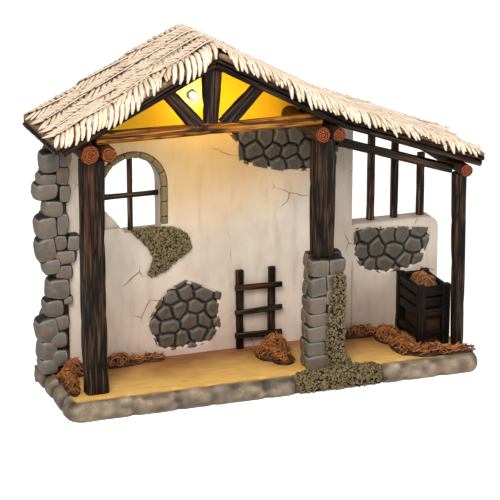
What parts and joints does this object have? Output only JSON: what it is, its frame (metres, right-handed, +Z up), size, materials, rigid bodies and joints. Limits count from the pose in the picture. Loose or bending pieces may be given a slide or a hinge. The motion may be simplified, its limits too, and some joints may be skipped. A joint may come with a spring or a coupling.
{
  "type": "lighted nativity stable",
  "caption": "Open-fronted crib stable with plastered wall, hewn posts, gable truss, palm-thatch roof, manger, ladder and a battery lamp in the gable.",
  "frame": {"origin": "on the surface that the stable stands on, under the middle of the base", "axes": "+X to the right as seen from the open front, +Y to the back wall, +Z up"},
  "size_m": [0.4435, 0.1278, 0.349],
  "materials": {
    "ground_and_rock": "cast resin, hand painted: ochre earth with grey edge stones",
    "plaster": "cast resin painted as stained off-white plaster",
    "fieldstone": "cast resin, grey-brown dry-brushed stone",
    "timber": "cast resin, near-black brown with orange-brown grain",
    "tie_beam": "cast resin, golden brown grain",
    "log": "cast resin, dark bark with orange-brown cut ends",
    "palm_thatch": "cast resin, pale cream palm fronds with brown-washed grooves",
    "moss": "olive-brown clump foam moss",
    "straw": "cast resin, orange-brown straw relief",
    "lamp_lens": "clear warm lamp lens",
    "black_plastic": "moulded black plastic",
    "switch_plastic": "moulded dark grey plastic",
    "lead_jacket": "soft black insulation",
    "cell_jacket": "plain blue-grey printed jacket",
    "contact_metal": "nickel-plated spring steel"
  },
  "bodies": {
    "stable": {"base_slab": "ground_and_rock", "back_wall": "plaster", "low_wall": "plaster", "left_end_stones": "fieldstone", "patch_stones_center": "fieldstone", "patch_stones_top": "fieldstone", "patch_stones_low": "fieldstone", "window_arch": "fieldstone", "window_cross": "timber", "window_moss": "moss", "post_left": "timber", "post_center": "timber", "post_right": "timber", "pier_center": "fieldstone", "pier_ivy": "moss", "log_left_outer": "log", "log_left_inner": "log", "log_center_left": "log", "log_center_right": "log", "log_right": "log", "tie_beam": "tie_beam", "king_post": "timber", "brace_left": "timber", "brace_right": "timber", "rafter_left": "timber", "rafter_right": "timber", "rafter_leanto": "timber", "leanto_beam": "timber", "deck_left": "timber", "deck_right": "timber", "thatch_left": "palm_thatch", "thatch_right": "palm_thatch", "slat_1": "timber", "slat_2": "timber", "slat_3": "timber", "ladder_rail_left": "timber", "ladder_rail_right": "timber", "ladder_rung_1": "timber", "ladder_rung_2": "timber", "ladder_rung_3": "timber", "manger_front": "timber", "manger_back": "timber", "manger_side_left": "timber", "manger_side_right": "timber", "manger_hay": "straw", "straw_left": "straw", "straw_back": "straw", "straw_center": "straw", "straw_right": "straw", "led_holder": "black_plastic", "led_bulb": "lamp_lens", "led_lead": "lead_jacket", "battery_box": "black_plastic", "cell_1": "cell_jacket", "cell_2": "cell_jacket", "contact_bridge": "contact_metal", "contact_plus": "contact_metal", "contact_minus": "contact_metal"},
    "door": {"battery_door": "black_plastic"},
    "switch": {"switch_slider": "switch_plastic"}
  },
  "joints": [
    {"name": "battery_door_hinge", "type": "hinge", "parent": "stable", "child": "door", "pos_m": [-0.0585, 0.0588, 0.1076], "axis": [-1, 0, 0], "range_deg": [0, 90]},
    {"name": "switch_slide", "type": "slide", "parent": "stable", "child": "switch", "axis": [1, 0, 0], "range_m": [0, 0.003]}
  ]
}
